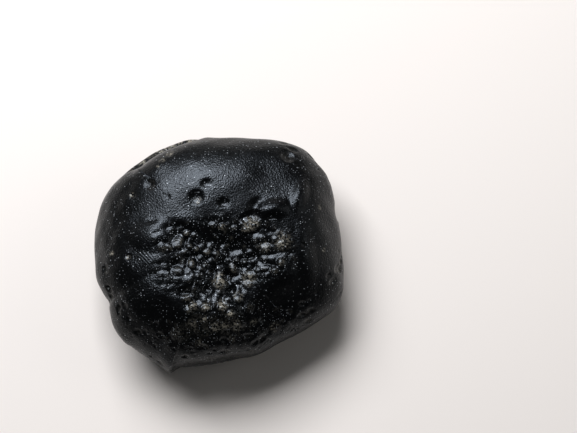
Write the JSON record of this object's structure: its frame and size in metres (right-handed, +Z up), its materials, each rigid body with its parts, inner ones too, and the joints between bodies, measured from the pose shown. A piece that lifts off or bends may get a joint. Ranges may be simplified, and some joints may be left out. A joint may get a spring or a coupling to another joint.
{
  "type": "tektite",
  "caption": "Palm-sized tektite: a flattened pebble of black natural glass with a pitted hollow in its top, resting on a small worn flat.",
  "frame": {"origin": "centre of the stone's outline, on the surface it rests on", "axes": "+X along the long way across, +Y from the sharp tip on the edge to the far edge, +Z up out of the pitted hollow"},
  "size_m": [0.06, 0.0564, 0.027],
  "materials": {
    "tektite_glass": "satin, micro-pitted natural surface of black impact glass with pale dust in the pits"
  },
  "bodies": {
    "root": {"tektite": "tektite_glass"}
  },
  "joints": []
}
